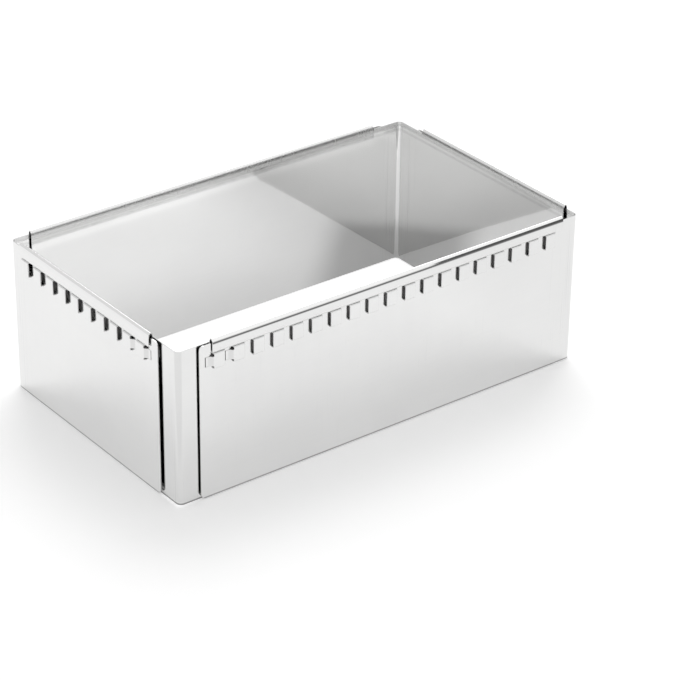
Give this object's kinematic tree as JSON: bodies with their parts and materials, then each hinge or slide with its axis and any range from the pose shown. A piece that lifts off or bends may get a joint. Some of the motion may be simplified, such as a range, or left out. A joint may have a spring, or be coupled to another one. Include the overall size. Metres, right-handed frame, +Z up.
{
  "type": "adjustable cake frame",
  "caption": "Rectangular cake frame of four bent steel angles that slide on each other, with hemmed top edges and rows of pressed louvres that hold each size.",
  "frame": {"origin": "middle of the frame's footprint, on the surface that it stands on", "axes": "+X along the long walls, +Y along the short walls, away from the corner with the two hems that meet at the front left, +Z up"},
  "size_m": [0.2208, 0.131, 0.0757],
  "materials": {
    "inner_sheet": "bright stainless sheet",
    "outer_sheet": "bright stainless sheet",
    "spring_strip": "rolled spring strip"
  },
  "bodies": {
    "front_angle": {"inner_angle_front": "inner_sheet", "catch_strip_front": "spring_strip", "catch_strip_left": "spring_strip"},
    "right_angle": {"outer_angle_right": "outer_sheet"},
    "left_angle": {"outer_angle_left": "outer_sheet"},
    "back_angle": {"inner_angle_back": "inner_sheet", "catch_strip_back": "spring_strip", "catch_strip_right": "spring_strip"}
  },
  "joints": [
    {"name": "length_slide", "type": "slide", "parent": "front_angle", "child": "right_angle", "axis": [1, 0, 0], "range_m": [0, 0.17], "deforming": ["catch_strip_front", "catch_strip_back"]},
    {"name": "width_slide", "type": "slide", "parent": "front_angle", "child": "left_angle", "axis": [0, 1, 0], "range_m": [0, 0.08], "deforming": ["catch_strip_left"]},
    {"name": "back_width_slide", "type": "slide", "parent": "right_angle", "child": "back_angle", "axis": [0, 1, 0], "range_m": [0, 0.08], "deforming": ["catch_strip_right"]}
  ],
  "couplings": [
    {"joint": "back_width_slide", "follows": "width_slide", "ratio": 1}
  ]
}
